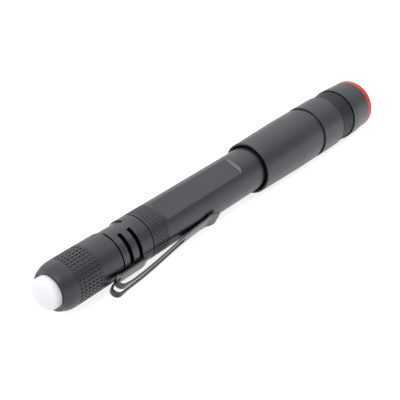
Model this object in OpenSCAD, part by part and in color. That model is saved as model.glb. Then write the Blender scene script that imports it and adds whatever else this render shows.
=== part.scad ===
// Penlight with a clicking tail button, a screw tail cap, a spring-steel pocket clip
// and a push-pull focusing head. It lies along X with its beam towards +X.
// The origin is the centre of the front ring's face, and all sizes are in millimetres.

/* [Cells] */
// Diameter of one AAA cell
cell_d = 10.4; // [9.6:0.1:11.2]
// Length of one AAA cell over its button
cell_len = 44.5; // [42:0.5:46]
// Diameter of the cell's positive button
cell_button_d = 3.8; // [3:0.1:4.5]
// Height of the cell's positive button
cell_button_h = 0.9; // [0.6:0.1:1.5]
// Radial room round a cell
cell_clear = 0.15; // [0.05:0.05:0.4]

/* [Barrel] */
// Wall of the barrel at its full diameter
barrel_wall = 1.65; // [1.3:0.05:2.5]
// Length of the neck that holds the clip's collar
neck_len = 8; // [7.8:0.1:12]
// Depth of the neck below the barrel
neck_depth = 0.45; // [0.4:0.05:0.6]
// Step from the neck down to the threaded spigot inside the tail cap
spigot_step = 0.65; // [0.5:0.05:0.65]
// Length of the plain ring in front of the neck
collar_ring_len = 3.5; // [2:0.1:6]
// Width of the turned groove after the plain ring
turned_groove_w = 0.45; // [0.3:0.05:1]
// Depth of that turned groove
turned_groove_depth = 0.25; // [0.1:0.05:0.5]
// Plain length on each side of the ribbed band
rib_margin = 0.45; // [0.2:0.05:1.5]
// Length of the barrel's band of fine pits
rib_len = 5.6; // [3:0.1:8]
// Rows of pits along the fine band
rib_rows = 5; // [3:1:7]
// Number of pits round the fine band
rib_count = 48; // [36:1:60]
// Width of one fine pit
rib_pit_w = 0.4; // [0.1:0.01:0.5]
// Depth of one fine pit
rib_depth = 0.16; // [0.08:0.01:0.3]
// Width of the fine rings between the rows
rib_ring_w = 0.36; // [0.2:0.02:0.5]
// Depth of the fine rings between the rows
rib_ring_depth = 0.04; // [0.02:0.01:0.06]
// Length of the milled flat between its sloping ends
flat_len = 33.2; // [20:0.1:36]
// Depth of the milled flat at its middle
flat_depth = 0.9; // [0.4:0.05:1.1]
// Slope of the flat's ends in degrees
flat_slope = 45; // [30:1:70]
// Angle from the clip up to the middle of the flat
flat_offset = 96; // [80:1:110]
// Step from the barrel down to its front part inside the head
front_step = 0.4; // [0.3:0.05:0.6]
// Chamfer on turned edges
edge_break = 0.2; // [0.05:0.05:0.3]

/* [Tail cap] */
// Length of the tail cap from its nose to its front edge
cap_len = 20.2; // [19:0.1:24]
// How far the cap's surface lies below the barrel's
cap_inset = 0.1; // [0.05:0.05:0.3]
// Length of the rounded nose
nose_len = 4; // [2.5:0.1:5]
// How far the nose draws in to its flat end
nose_drop = 1.2; // [0.8:0.05:1.6]
// Thickness of the nose's end wall
nose_wall = 1.4; // [1:0.1:2]
// Length of the knurled band
knurl_len = 8.7; // [6:0.1:11]
// Rows of pits along the knurled band
knurl_rows = 6; // [4:1:8]
// Pits round the knurled band
knurl_count = 40; // [24:1:48]
// Width of one pit
knurl_pit_w = 0.44; // [0.2:0.02:0.6]
// Depth of one pit
knurl_depth = 0.26; // [0.1:0.02:0.4]
// Width of the fine rings that part the rows
knurl_ring_w = 0.5; // [0.2:0.02:0.6]
// Depth of those fine rings
knurl_ring_depth = 0.06; // [0.04:0.01:0.1]
// Step in the cap from its thread down to the bore of the board's ring
retainer_step = 0.2; // [0.1:0.05:0.3]
// Width of the ledge in the cap that the switch's board rests on
board_ledge = 0.4; // [0.2:0.05:0.6]
// Section of the seal under the cap's mouth
tail_seal_d = 0.5; // [0.4:0.05:0.55]

/* [Tail button and switch] */
// Diameter of the push button
button_d = 9.2; // [7:0.1:9.4]
// Height of the button's crown above the nose
button_rise = 3.1; // [2:0.1:4]
// Radius of the button's crown
button_crown_r = 12; // [8:0.5:20]
// Rounding of the button's edge
button_edge = 1.1; // [0.5:0.1:1.4]
// Thickness of the button's hidden flange
button_flange_t = 1; // [0.6:0.1:1.5]
// Travel of the button
button_travel = 1.6; // [1:0.1:2]
// Thickness of the soft ring between the nose and the flange
button_gasket_t = 0.5; // [0.3:0.1:0.8]
// Wall of the button's hollow
button_wall = 1.1; // [0.8:0.1:1.3]
// Length of the switch's housing
switch_len = 4.5; // [4:0.1:5.2]
// End walls of the switch's housing
switch_wall = 0.6; // [0.4:0.1:0.8]
// Diameter of the switch's plunger
plunger_d = 3; // [2:0.1:3.6]
// Width of the plunger's captive flange
plunger_flange_w = 0.4; // [0.3:0.05:0.6]
// Thickness of the plunger's captive flange
plunger_flange_t = 0.8; // [0.5:0.1:1]
// Thickness of the switch's board
switch_board_t = 1.2; // [0.8:0.1:1.6]
// Thickness of the ring that holds the board
switch_retainer_t = 1.4; // [1:0.1:2]
// Width of the ring that holds the board
switch_retainer_w = 1.3; // [1:0.1:1.5]
// Width of the spanner slot in that ring
spanner_slot_w = 1.2; // [0.8:0.1:1.6]
// Depth of the spanner slot in that ring
spanner_slot_depth = 0.7; // [0.4:0.1:0.9]
// Length of the tail spring between its board and the cell
tail_spring_len = 5.2; // [3.8:0.1:6]
// Wire of the tail spring
tail_wire_d = 0.6; // [0.4:0.05:0.7]
// Turns of the tail spring
tail_turns = 3.5; // [2:0.5:3.5]
// Radius of the tail spring at its board
tail_spring_base_r = 3.4; // [2.8:0.1:3.6]
// Radius of the tail spring at the cell
tail_spring_top_r = 2.4; // [2:0.1:2.8]
// Wire of the switch's own spring
switch_wire_d = 0.3; // [0.2:0.02:0.36]
// Turns of the switch's own spring
switch_turns = 2.5; // [1.5:0.5:2.5]

/* [Pocket clip] */
// Thickness of the clip's steel
clip_t = 0.5; // [0.35:0.05:0.55]
// Width of the clip's foot and arm
clip_w = 6; // [4.4:0.1:6.6]
// Angle of the neck that the collar wraps
clip_wrap = 243; // [220:1:260]
// Width of the slots in the collar
clip_slot_w = 1.35; // [0.5:0.05:1.5]
// Half angle at which the slots end, from the middle of the clip
clip_slot_end = 107; // [60:1:108]
// Width of the collar's middle band
clip_band_w = 2.05; // [1.6:0.05:2.5]
// Width of the collar's front band
clip_edge_w = 0.55; // [0.4:0.05:1]
// How far the middle of the U-bend lies behind the cap's edge
clip_bend_back = 3.3; // [3:0.1:6]
// Open height inside the U-bend
clip_gap = 2.65; // [2.4:0.05:4]
// Width of the window in the foot and the U-bend
clip_window_w = 3; // [1.2:0.1:3.2]
// How far the window ends behind the cap's edge
clip_window_back = 1.4; // [1:0.1:2.5]
// Width of the long slot in the arm
clip_slit_w = 3; // [1.2:0.1:3.2]
// Where the long slot ends, in front of the cap's edge
clip_slit_end = 24; // [10:0.5:28]
// How far the foot reaches over the barrel's plain ring
clip_foot_reach = 1; // [0.2:0.1:1.5]
// Size of the cut corners at the end of the foot
clip_foot_cut = 1.2; // [0.4:0.1:1.6]
// Where the arm comes closest to the barrel, in front of the cap's edge
clip_touch = 35.2; // [26:0.1:40]
// Length of the turned-out tip
clip_tip_len = 3.5; // [3:0.1:6]
// Rise of the turned-out tip
clip_tip_rise = 0.75; // [0.6:0.05:2]
// Size of the cut corners at the tip
clip_tip_cut = 1.15; // [0.4:0.05:1.6]

/* [Head] */
// Length of the head from its rear rim to the front face
head_len = 60.1; // [56:0.1:66]
// Travel of the head from flood to spot
focus_travel = 6; // [3:0.1:7]
// Length of barrel at full diameter inside the head
slide_land_len = 11.5; // [9:0.1:14]
// Radial room between the sleeve and the barrel's front part
slide_room = 0.35; // [0.25:0.05:0.5]
// Length of the sleeve's inner stop lip
stop_lip_len = 2.5; // [1.5:0.1:3.5]
// Width of the snap ring that stops the sleeve
stop_ring_t = 0.8; // [0.6:0.1:1.2]
// Depth of the snap ring's groove
stop_ring_depth = 0.5; // [0.3:0.05:0.6]
// Gap at the open side of the snap ring
stop_ring_gap = 3; // [2:0.1:5]
// Section of the focus seal
focus_seal_d = 0.9; // [0.7:0.05:1]
// Land between the snap ring and the focus seal's groove
seal_land = 1; // [0.6:0.1:2]
// Wall of the focus sleeve at its rear rim
sleeve_wall = 1.14; // [0.9:0.02:1.6]
// Length of the straight front part of the sleeve
sleeve_straight_len = 9; // [4:0.5:14]
// How much the sleeve's radius grows towards the front
sleeve_flare = 0.43; // [0.1:0.01:0.7]
// Length of the red front ring
red_ring_len = 2.3; // [1.6:0.1:3.5]
// Length of the bezel in front of the grip band
bezel_nose_len = 9.4; // [8:0.1:12]
// How much the bezel draws in towards the red ring
bezel_nose_drop = 0.3; // [0:0.05:0.5]
// Length of the recessed grip band
grip_len = 7.2; // [4:0.1:8]
// Depth of the grip band below the bezel
grip_depth = 0.32; // [0.1:0.02:0.4]
// Number of fine rings in the grip band
grip_rings = 9; // [4:1:10]
// Length of the plain bezel behind the grip band
bezel_ring_len = 10.3; // [8:0.1:13]
// Width of the parting groove behind the bezel
parting_w = 1.9; // [1:0.1:3]
// Depth of the parting groove
parting_depth = 0.45; // [0.2:0.05:0.6]
// Depth of the fine rings in the grip band
grip_ring_depth = 0.2; // [0.05:0.01:0.25]
// How far the bezel stands proud of the sleeve
bezel_proud = 0.07; // [0:0.01:0.15]
// Wall of the bezel round the lens
bezel_wall = 1.25; // [1:0.05:1.5]
// Wall of the sleeve's threaded spigot inside the bezel
sleeve_spigot_wall = 0.75; // [0.6:0.05:0.8]
// Length of the sleeve's threaded spigot
sleeve_spigot_len = 9.5; // [7:0.1:11]
// Wall of the bezel's spigot inside the red ring
ring_spigot_wall = 0.7; // [0.4:0.05:0.8]
// Rounding of the red ring's front edge
red_ring_round = 0.7; // [0.3:0.05:0.7]

/* [Lens and LED] */
// Depth of the lens seat behind the front face
lens_seat_depth = 9.9; // [8.5:0.1:11]
// Thickness of the lens's rim
lens_rim_t = 2.4; // [1.5:0.1:3]
// Width of the lens's rim
lens_rim_w = 0.6; // [0.4:0.05:0.9]
// Height of the lens's dome
lens_dome_h = 6; // [4:0.1:6.2]
// Thickness of the lens gasket
lens_gasket_t = 0.6; // [0.4:0.1:1]
// Room between the LED and the lens at flood
led_gap = 2.2; // [1.5:0.1:4]
// Radius of the LED's own dome
led_dome_r = 1.4; // [0.8:0.1:1.6]
// Side of the LED's square base
led_base_w = 3.45; // [3:0.05:4]
// Thickness of the LED's square base
led_base_t = 0.7; // [0.4:0.1:1.2]
// Thickness of the ring that holds the lens
lens_retainer_t = 2; // [1.5:0.1:2.5]
// Width of the ring that holds the lens
lens_retainer_w = 1.2; // [0.8:0.1:1.5]
// Thickness of the LED's board
led_board_t = 1.2; // [0.8:0.1:1.6]
// How far the LED's board lies inside the barrel's bore
led_board_inset = 0.5; // [0.3:0.05:0.8]
// Radius of the wire notches in the LED's board
led_notch_r = 0.9; // [0.6:0.05:1.1]
// Thickness of the white ring round the LED
led_ring_t = 1; // [0.6:0.1:1.5]
// Length of the pill's nose behind the LED's board
pill_nose_len = 4.4; // [3:0.1:6]
// Thickness of the pill's flange at the end of the barrel
pill_flange_t = 1.6; // [1:0.1:2.5]
// Length of the pill's stem inside the barrel
pill_stem_len = 10.9; // [8:0.1:14]
// Depth of the pocket at the back of the pill
pill_pocket_depth = 3; // [2.5:0.1:5]
// Wall round that pocket
pill_pocket_wall = 1.1; // [0.7:0.1:1.4]
// Radius of the wire holes through the pill
pill_wire_r = 0.7; // [0.5:0.05:0.8]
// Distance of the wire holes from the axis
pill_wire_offset = 3; // [2.8:0.1:3.4]
// Thickness of the driver's board
driver_board_t = 1.1; // [0.8:0.1:1.6]
// Side of the driver's coil
driver_coil_w = 3; // [2.5:0.1:3.5]
// Height of the driver's coil
driver_coil_h = 1.8; // [1:0.1:2.2]
// Length of the driver's chip
driver_chip_len = 3.6; // [3:0.1:4]
// Width of the driver's chip
driver_chip_w = 1.6; // [1:0.1:1.8]
// Height of the driver's chip
driver_chip_h = 1; // [0.6:0.1:1.4]
// Length of the stud between the front cell and the driver
contact_len = 1.5; // [1:0.1:2.5]
// Thickness of the stud's base
contact_base_t = 0.5; // [0.3:0.1:0.8]
// Width of the stud's base round its shank
contact_base_w = 0.9; // [0.5:0.1:1.2]

/* [Fits] */
// Radial room of a sliding fit
run_clear = 0.06; // [0.03:0.01:0.1]
// Radial room between screwed pieces
thread_clear = 0.07; // [0.03:0.01:0.1]
// Room where one piece rests on another
seat_clear = 0.05; // [0.02:0.01:0.08]
// Room round a loosely held piece
loose_clear = 0.1; // [0.06:0.01:0.15]
// Room between a seal or collar and what it grips
snug_clear = 0.02; // [0.01:0.01:0.04]
// Spare room at the sleeve's stops, at the pressed button and behind the clip's collar
stop_clear = 0.2; // [0.1:0.05:0.3]
// Room between the clip's foot and the tail cap
foot_clear = 0.2; // [0.1:0.05:0.4]
// Room between the barrel's end and the board's ring
spigot_clear = 0.6; // [0.3:0.1:1]

/* [Hidden] */
$fn = 96;

over = 1;   // how far cutters reach past what they cut

// Radii, built outwards from the cell
cell_r = cell_d / 2;
bore_r = cell_r + cell_clear;
barrel_r = bore_r + barrel_wall;
neck_r = barrel_r - neck_depth;
spigot_r = neck_r - spigot_step;
front_r = barrel_r - front_step;
cap_r = barrel_r - cap_inset;
cap_bore_r = spigot_r + thread_clear;
retainer_bore_r = cap_bore_r - retainer_step;
retainer_r = retainer_bore_r - thread_clear;
chamber_r = retainer_bore_r - board_ledge;
flange_r = chamber_r - loose_clear;
button_r = button_d / 2;
button_hole_r = button_r + loose_clear;
plunger_r = plunger_d / 2;
plunger_flange_r = plunger_r + plunger_flange_w;
land_r = barrel_r + run_clear;
lip_r = front_r + run_clear;
slide_bore_r = front_r + slide_room;
sleeve_rear_r = land_r + sleeve_wall;
sleeve_front_r = sleeve_rear_r + sleeve_flare;
sleeve_spigot_r = slide_bore_r + sleeve_spigot_wall;
bezel_r = sleeve_front_r + bezel_proud;
bezel_front_r = bezel_r - bezel_nose_drop;
bezel_thread_r = sleeve_spigot_r + thread_clear;
lens_bore_r = bezel_r - bezel_wall;
lens_r = lens_bore_r - seat_clear;
window_r = lens_r - lens_rim_w + loose_clear;
ring_spigot_r = window_r + ring_spigot_wall;
led_board_r = bore_r - led_board_inset;
switch_side = sqrt(2) * (chamber_r - loose_clear);

// Stations of the head along the axis, back from the front face at zero
z_red = -red_ring_len;
z_grip_front = z_red - bezel_nose_len;
z_grip_rear = z_grip_front - grip_len;
z_bezel = z_grip_rear - bezel_ring_len;
z_parting = z_bezel - parting_w;
z_rim = -head_len;
z_sleeve_end = z_bezel + sleeve_spigot_len;
z_ring_spigot = z_red + red_ring_len / 2;

// Lens, LED and pill, back to the front end of the barrel
z_lens_seat = -lens_seat_depth;
z_lens_rim = z_lens_seat - lens_gasket_t;
z_lens_back = z_lens_rim - lens_rim_t;
z_led_top = z_lens_back - led_gap;
z_led_base = z_led_top - led_dome_r - led_base_t;
z_led_board = z_led_base - led_board_t;
z_pill_flange = z_led_board - pill_nose_len;
z_barrel_end = z_pill_flange - pill_flange_t;
z_pill = z_barrel_end - pill_stem_len;

// Driver, cells and tail spring, back to the switch's board
z_driver = z_pill - driver_board_t;
z_cells_end = z_driver - contact_len;
z_front_cell = z_cells_end - cell_len;
z_rear_cell = z_front_cell - cell_len;
z_board_front = z_rear_cell - tail_spring_len;

// Switch stack, back to the nose of the tail cap and forward to the cap's edge
z_retainer_front = z_board_front + switch_retainer_t;
z_spigot = z_retainer_front + spigot_clear;
z_ledge = z_board_front - switch_board_t;
z_switch = z_ledge - switch_len;
z_switch_floor = z_ledge - switch_wall;
z_plunger_flange = z_switch + switch_wall + seat_clear;
z_flange_front = z_switch - button_travel - stop_clear - seat_clear;
z_flange = z_flange_front - button_flange_t;
z_nose_in = z_flange - seat_clear - button_gasket_t;
z_nose = z_nose_in - nose_wall;
z_nose_end = z_nose + nose_len;
knurl_pitch = (knurl_len - knurl_ring_w) / knurl_rows;
z_joint = z_nose + cap_len;

// Sliding fit of the head on the barrel
z_step = z_rim + slide_land_len;
z_lip_rear = z_step + stop_clear;
z_lip_front = z_lip_rear + stop_lip_len;
z_stop_ring = z_lip_front + focus_travel + loose_clear;
focus_groove_w = focus_seal_d + 2 * loose_clear;
z_focus_seal = z_stop_ring + stop_ring_t + seal_land + focus_groove_w / 2;
focus_seal_r = slide_bore_r - snug_clear - focus_seal_d / 2;

// Seal under the cap's mouth
tail_seal_r = spigot_r + snug_clear + tail_seal_d / 2;
mouth_r = tail_seal_r + tail_seal_d / 2 + seat_clear;
mouth_depth = tail_seal_d + 2 * seat_clear;

// Barrel features in front of the cap's edge
z_shoulder = z_joint + neck_len;
z_turned = z_shoulder + collar_ring_len;
z_ribs = z_turned + turned_groove_w + rib_margin;
rib_pitch = (rib_len - rib_ring_w) / rib_rows;
flat_run = flat_depth / tan(flat_slope);
z_flat = z_ribs + rib_len + rib_margin + flat_run;

// Clip
collar_r = neck_r + snug_clear;
collar_len = neck_len - stop_clear - seat_clear;
z_collar = z_joint + stop_clear;
foot_rho = cap_r + foot_clear;
bend_r = clip_gap / 2;
bend_rho = foot_rho + clip_t + bend_r;
clip_out_rho = bend_rho + bend_r + clip_t;
touch_rho = barrel_r + seat_clear;
z_bend = z_joint - clip_bend_back;
z_clip_back = z_bend - bend_r - clip_t;
z_touch = z_joint + clip_touch;
z_tip = z_touch + clip_tip_len;
arm_reach = norm([z_touch - z_bend, touch_rho - bend_rho]);
arm_fall = atan2(touch_rho - bend_rho, z_touch - z_bend);
arm_slope = asin(bend_r / arm_reach) - arm_fall;
tip_slope = atan(clip_tip_rise / clip_tip_len);
foot_half_angle = asin(clip_w / 2 / (collar_r + clip_t));
slot_margin = 0.8;  // degrees from the foot's edge to a slot, and from a bridge to the collar's end
// Lying on a table, the penlight rests on its head and on the clip's bend
clip_corner = norm([clip_out_rho, clip_w / 2]);
clip_drop = asin(min(1, bezel_r / clip_corner)) - atan(clip_w / 2 / clip_out_rho);
clip_turn = clip_drop - 90;
flat_turn = clip_turn - flat_offset;

// Colours
black = "#3a3b3d";
steel_black = "#2c2d2f";
white_rubber = "#f2f3f7";
red = "#e23a2e";
brass = "#c9a352";
board_green = "#2f6b45";
spring_steel = "#c4c6c8";
seal = "#222222";

// Turns a profile that stands along Z so that it points along X
module along_x() {
    rotate([0, 90, 0]) children();
}

// A ring or disc of the profile's radii between two stations
module turned(r_in, r_out, z_from, z_to) {
    translate([r_in, z_from]) square([r_out - r_in, z_to - z_from]);
}

// A round seal
module o_ring(center_r, section_d, z) {
    along_x() rotate_extrude() translate([center_r, z]) circle(d = section_d, $fn = 32);
}

// Cuts evenly spaced grooves along the axis into the outside of a turned piece
module axial_grooves(count, groove_w, outer_r, depth, z_from, len) {
    for (i = [0 : count - 1])
        rotate([0, 0, 360 * i / count])
            translate([outer_r - depth, -groove_w / 2, z_from]) cube([depth + over, groove_w, len]);
}

// Fine turned rings that part rows of pits, one more than the rows
module row_rings(outer_r, z_from, pitch, rows, ring_w, ring_depth) {
    for (i = [0 : rows])
        turned(outer_r - ring_depth, outer_r + over, z_from + i * pitch, z_from + i * pitch + ring_w);
}

// Rows of pits, which run a hair into the rings between them
module pit_rows(outer_r, z_from, pitch, rows, ring_w, count, pit_w, depth) {
    for (i = [0 : rows - 1])
        axial_grooves(count, pit_w, outer_r, depth, z_from + i * pitch + ring_w - snug_clear,
            pitch - ring_w + 2 * snug_clear);
}

// Points of a wound spring's wire, straight for one wire diameter at both ends
function coil_angle(t, turns) = 360 * turns * t;
function coil_path(r_from, r_to, len, wire, turns) =
    let (steps = round(8 * turns), lead = wire, rise = len - wire)
    concat(
        [[r_from, -lead, wire / 2]],
        [for (i = [0 : steps])
            let (t = i / steps, a = coil_angle(t, turns), r = r_from + (r_to - r_from) * t)
            [r * cos(a), r * sin(a), wire / 2 + rise * t]],
        [let (a = coil_angle(1, turns))
            [r_to * cos(a) - lead * sin(a), r_to * sin(a) + lead * cos(a), len - wire / 2]]);

function unit(v) = v / norm(v);
function tangent(path, i) =
    unit(path[min(i + 1, len(path) - 1)] - path[max(i - 1, 0)]);
function ring_at(path, i, wire, sides) =
    let (t = tangent(path, i), up = unit([0, 0, 1] - t * t.z), side = cross(t, up))
    [for (k = [0 : sides - 1])
        path[i] + wire / 2 * (cos(360 * k / sides) * side + sin(360 * k / sides) * up)];

// Least room between neighbouring turns of a wound spring
function coil_gap(r_from, r_to, len, wire, turns) =
    norm([(r_to - r_from) / turns, (len - wire) / turns]) - wire;

// One unbroken wire along a path, closed at both ends
module wire_along(path, wire, sides = 6) {
    n = len(path);
    points = [for (i = [0 : n - 1]) each ring_at(path, i, wire, sides)];
    walls = [for (i = [0 : n - 2]) for (k = [0 : sides - 1])
        let (a = i * sides + k, b = i * sides + (k + 1) % sides)
        each [[a, b, b + sides], [a, b + sides, a + sides]]];
    start = [for (k = [1 : sides - 2]) [0, k + 1, k]];
    last = (n - 1) * sides;
    finish = [for (k = [1 : sides - 2]) [last, last + k, last + k + 1]];
    polyhedron(points, concat(walls, start, finish));
}

// Crown of the button, which runs smoothly into its rounded edge
module button_crown(z_crown, z_round) {
    edge_x = button_r - button_edge;
    meet_x = edge_x * button_crown_r / (button_crown_r - button_edge);
    translate([edge_x, z_round]) circle(button_edge, $fn = 48);
    intersection() {
        translate([0, z_crown + button_crown_r]) circle(button_crown_r);
        turned(0, meet_x, z_crown - over, z_round);
    }
}

module tail_button() {
    z_crown = z_nose - button_rise;
    edge_drop = sqrt(pow(button_crown_r - button_edge, 2) - pow(button_r - button_edge, 2));
    z_round = z_crown + button_crown_r - edge_drop;
    color(white_rubber) along_x() rotate_extrude() difference() {
        union() {
            button_crown(z_crown, z_round);
            turned(0, button_r, z_round, z_flange_front);
            turned(0, flange_r, z_flange, z_flange_front);
        }
        turned(plunger_flange_r, button_r - button_wall, z_round + button_wall, z_flange_front + over);
    }
}

module button_gasket() {
    color(seal) along_x() rotate_extrude()
        turned(button_hole_r, flange_r, z_nose_in, z_nose_in + button_gasket_t);
}

module switch_plunger() {
    color("#d8d8d0") along_x() rotate_extrude() {
        turned(0, plunger_r, z_flange_front + seat_clear, z_plunger_flange + plunger_flange_t);
        turned(0, plunger_flange_r, z_plunger_flange, z_plunger_flange + plunger_flange_t);
    }
}

module switch_spring() {
    z_from = z_plunger_flange + plunger_flange_t;
    len = z_switch_floor - z_from;
    r = plunger_flange_r - switch_wire_d;
    echo(switch_spring_gap = coil_gap(r, r, len, switch_wire_d, switch_turns));
    color(spring_steel) along_x() translate([0, 0, z_from])
        wire_along(coil_path(r, r, len, switch_wire_d, switch_turns), switch_wire_d);
}

module switch_housing() {
    color("#26272a") along_x() difference() {
        translate([-switch_side / 2, -switch_side / 2, z_switch])
            cube([switch_side, switch_side, switch_len]);
        translate([0, 0, z_switch - over]) cylinder(r = plunger_r + run_clear, h = switch_wall + 2 * over);
        translate([0, 0, z_switch + switch_wall])
            cylinder(r = plunger_flange_r + loose_clear, h = z_switch_floor - z_switch - switch_wall);
    }
}

module switch_board() {
    color(board_green) along_x() rotate_extrude() turned(0, retainer_r, z_ledge, z_board_front);
}

module switch_retainer() {
    color(brass) along_x() difference() {
        rotate_extrude() turned(retainer_r - switch_retainer_w, retainer_r, z_board_front, z_retainer_front);
        translate([-retainer_r - over, -spanner_slot_w / 2, z_retainer_front - spanner_slot_depth])
            cube([2 * (retainer_r + over), spanner_slot_w, spanner_slot_depth + over]);
    }
}

module tail_spring() {
    gap = coil_gap(tail_spring_base_r, tail_spring_top_r, tail_spring_len, tail_wire_d, tail_turns);
    echo(tail_spring_gap = gap);
    color(spring_steel) along_x() translate([0, 0, z_board_front]) wire_along(
        coil_path(tail_spring_base_r, tail_spring_top_r, tail_spring_len, tail_wire_d, tail_turns),
        tail_wire_d);
}

module cap_profile() {
    nose_arc_r = (nose_len * nose_len + nose_drop * nose_drop) / (2 * nose_drop);
    difference() {
        union() {
            turned(0, cap_r, z_nose_end, z_joint - edge_break);
            turned(0, cap_r - edge_break, z_nose_end, z_joint);
            intersection() {
                translate([cap_r - nose_arc_r, z_nose_end]) circle(nose_arc_r);
                turned(0, cap_r, z_nose, z_nose_end);
            }
        }
        turned(-over, button_hole_r, z_nose - over, z_nose_in + over);
        turned(-over, chamber_r, z_nose_in, z_ledge + over);
        turned(-over, retainer_bore_r, z_ledge, z_retainer_front + over);
        turned(-over, cap_bore_r, z_retainer_front, z_joint + over);
        turned(-over, mouth_r, z_joint - mouth_depth, z_joint + over);
        row_rings(cap_r, z_nose_end, knurl_pitch, knurl_rows, knurl_ring_w, knurl_ring_depth);
    }
}

module tail_cap() {
    color(black) along_x() difference() {
        rotate_extrude() cap_profile();
        pit_rows(cap_r, z_nose_end, knurl_pitch, knurl_rows, knurl_ring_w, knurl_count, knurl_pit_w,
            knurl_depth);
    }
}

module tail_o_ring() {
    color(seal) o_ring(tail_seal_r, tail_seal_d, z_joint - seat_clear - tail_seal_d / 2);
}

module barrel_profile() {
    stop_floor_r = front_r - stop_ring_depth;
    seal_floor_r = focus_seal_r - focus_seal_d / 2 - snug_clear;
    difference() {
        union() {
            turned(bore_r, spigot_r, z_spigot, z_joint);
            turned(bore_r, neck_r, z_joint, z_shoulder + over);
            turned(bore_r, barrel_r, z_shoulder, z_step - edge_break);
            turned(bore_r, barrel_r - edge_break, z_shoulder + over, z_step);
            turned(bore_r, front_r, z_shoulder + over, z_barrel_end);
        }
        turned(barrel_r - turned_groove_depth, barrel_r + over, z_turned, z_turned + turned_groove_w);
        row_rings(barrel_r, z_ribs, rib_pitch, rib_rows, rib_ring_w, rib_ring_depth);
        turned(stop_floor_r, front_r + over,
            z_stop_ring - seat_clear, z_stop_ring + stop_ring_t + seat_clear);
        turned(seal_floor_r, front_r + over,
            z_focus_seal - focus_groove_w / 2, z_focus_seal + focus_groove_w / 2);
    }
}

// Milled flat with sloping ends
module flat_cut() {
    floor_r = barrel_r - flat_depth;
    rise = flat_depth + over;
    run = rise / tan(flat_slope);
    rotate([90, 0, 0]) linear_extrude(2 * barrel_r, center = true) polygon([
        [floor_r, z_flat], [floor_r + rise, z_flat - run],
        [floor_r + rise, z_flat + flat_len + run], [floor_r, z_flat + flat_len]]);
}

module barrel() {
    color(black) along_x() difference() {
        rotate_extrude() barrel_profile();
        pit_rows(barrel_r, z_ribs, rib_pitch, rib_rows, rib_ring_w, rib_count, rib_pit_w, rib_depth);
        rotate([0, 0, flat_turn]) flat_cut();
    }
}

// Points along an arc
function arc(middle, r, from, to, steps) =
    [for (i = [0 : steps]) let (a = from + (to - from) * i / steps) middle + r * [cos(a), sin(a)]];

// Side view of the clip's foot, bend, arm and tip: axis along x, distance from the axis along y
module clip_side() {
    steps = 24;
    bend = [z_bend, bend_rho];
    touch = [z_touch, touch_rho];
    tip = touch + [clip_tip_len, clip_tip_rise];
    knee = (arm_slope + tip_slope) / 2;
    knee_normal = [sin(arm_slope - knee), cos(arm_slope - knee)];
    tip_normal = [-sin(tip_slope), cos(tip_slope)];
    polygon(concat(
        [[z_shoulder + clip_foot_reach, foot_rho]],
        arc(bend, bend_r + clip_t, 270, 90 - arm_slope, steps),
        [touch + clip_t / cos(knee) * knee_normal, tip + clip_t * tip_normal, tip, touch],
        arc(bend, bend_r, 90 - arm_slope, 270, steps),
        [[z_shoulder + clip_foot_reach, foot_rho + clip_t]]));
}

// Plan of the clip: the arm's corners are cut off at the tip
module clip_plan() {
    half_w = clip_w / 2;
    polygon([
        [z_clip_back - over, -half_w], [z_tip - clip_tip_cut, -half_w], [z_tip, -half_w + clip_tip_cut],
        [z_tip, half_w - clip_tip_cut], [z_tip - clip_tip_cut, half_w], [z_clip_back - over, half_w]]);
}

// Opening from behind the bend to its round front end
module clip_opening(z_end, opening_w) {
    z_round = z_end - opening_w / 2;
    translate([z_clip_back - over, -opening_w / 2]) square([z_round - z_clip_back + over, opening_w]);
    translate([z_round, 0]) circle(d = opening_w, $fn = 48);
}

// Cut corners at the front end of the foot
module clip_foot_corners() {
    z_end = z_shoulder + clip_foot_reach;
    half_w = clip_w / 2;
    for (side = [-1, 1])
        polygon([
            [z_end - clip_foot_cut - over, side * (half_w + over)], [z_end + over, side * (half_w + over)],
            [z_end + over, side * (half_w - clip_foot_cut - over)]]);
}

// Part of a flat ring between two angles less than a half turn from its middle
module ring_sector(r_in, r_out, from, to) {
    steps = 4;
    reach = 2 * r_out;
    intersection() {
        difference() {
            circle(r_out);
            circle(r_in);
        }
        polygon(concat([[0, 0]], arc([0, 0], reach, from, to, steps)));
    }
}

// C-shaped collar round the neck: three bands, bridged under the foot and near both ends.
// The bridges are a little thinner than the bands.
module clip_collar() {
    slot_start = foot_half_angle + slot_margin;
    rear_band_w = collar_len - clip_band_w - clip_edge_w - 2 * clip_slot_w;
    band_starts = [0, rear_band_w + clip_slot_w, collar_len - clip_edge_w];
    band_widths = [rear_band_w, clip_band_w, clip_edge_w];
    end = clip_wrap / 2;
    for (i = [0 : 2])
        translate([0, 0, z_collar + band_starts[i]]) linear_extrude(band_widths[i])
            ring_sector(collar_r, collar_r + clip_t, -end, end);
    translate([0, 0, z_collar + rear_band_w / 2])
        linear_extrude(collar_len - rear_band_w / 2 - clip_edge_w / 2)
            for (span = [[-end + slot_margin, -clip_slot_end], [-slot_start, slot_start],
                    [clip_slot_end, end - slot_margin]])
                ring_sector(collar_r + snug_clear, collar_r + clip_t - snug_clear, span[0], span[1]);
}

// Pad that joins the foot to the collar
module clip_pad() {
    translate([0, 0, z_collar + loose_clear]) linear_extrude(collar_len - 2 * loose_clear) difference() {
        translate([0, -clip_w / 2]) square([foot_rho + clip_t / 2, clip_w]);
        circle(collar_r + clip_t / 2);
    }
}

// Stands a plan of the clip up between two distances from the axis
module clip_standing(rho_from, rho_to) {
    multmatrix([[0, 0, 1, 0], [0, 1, 0, 0], [1, 0, 0, 0]])
        translate([0, 0, rho_from]) linear_extrude(rho_to - rho_from) children();
}

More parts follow.
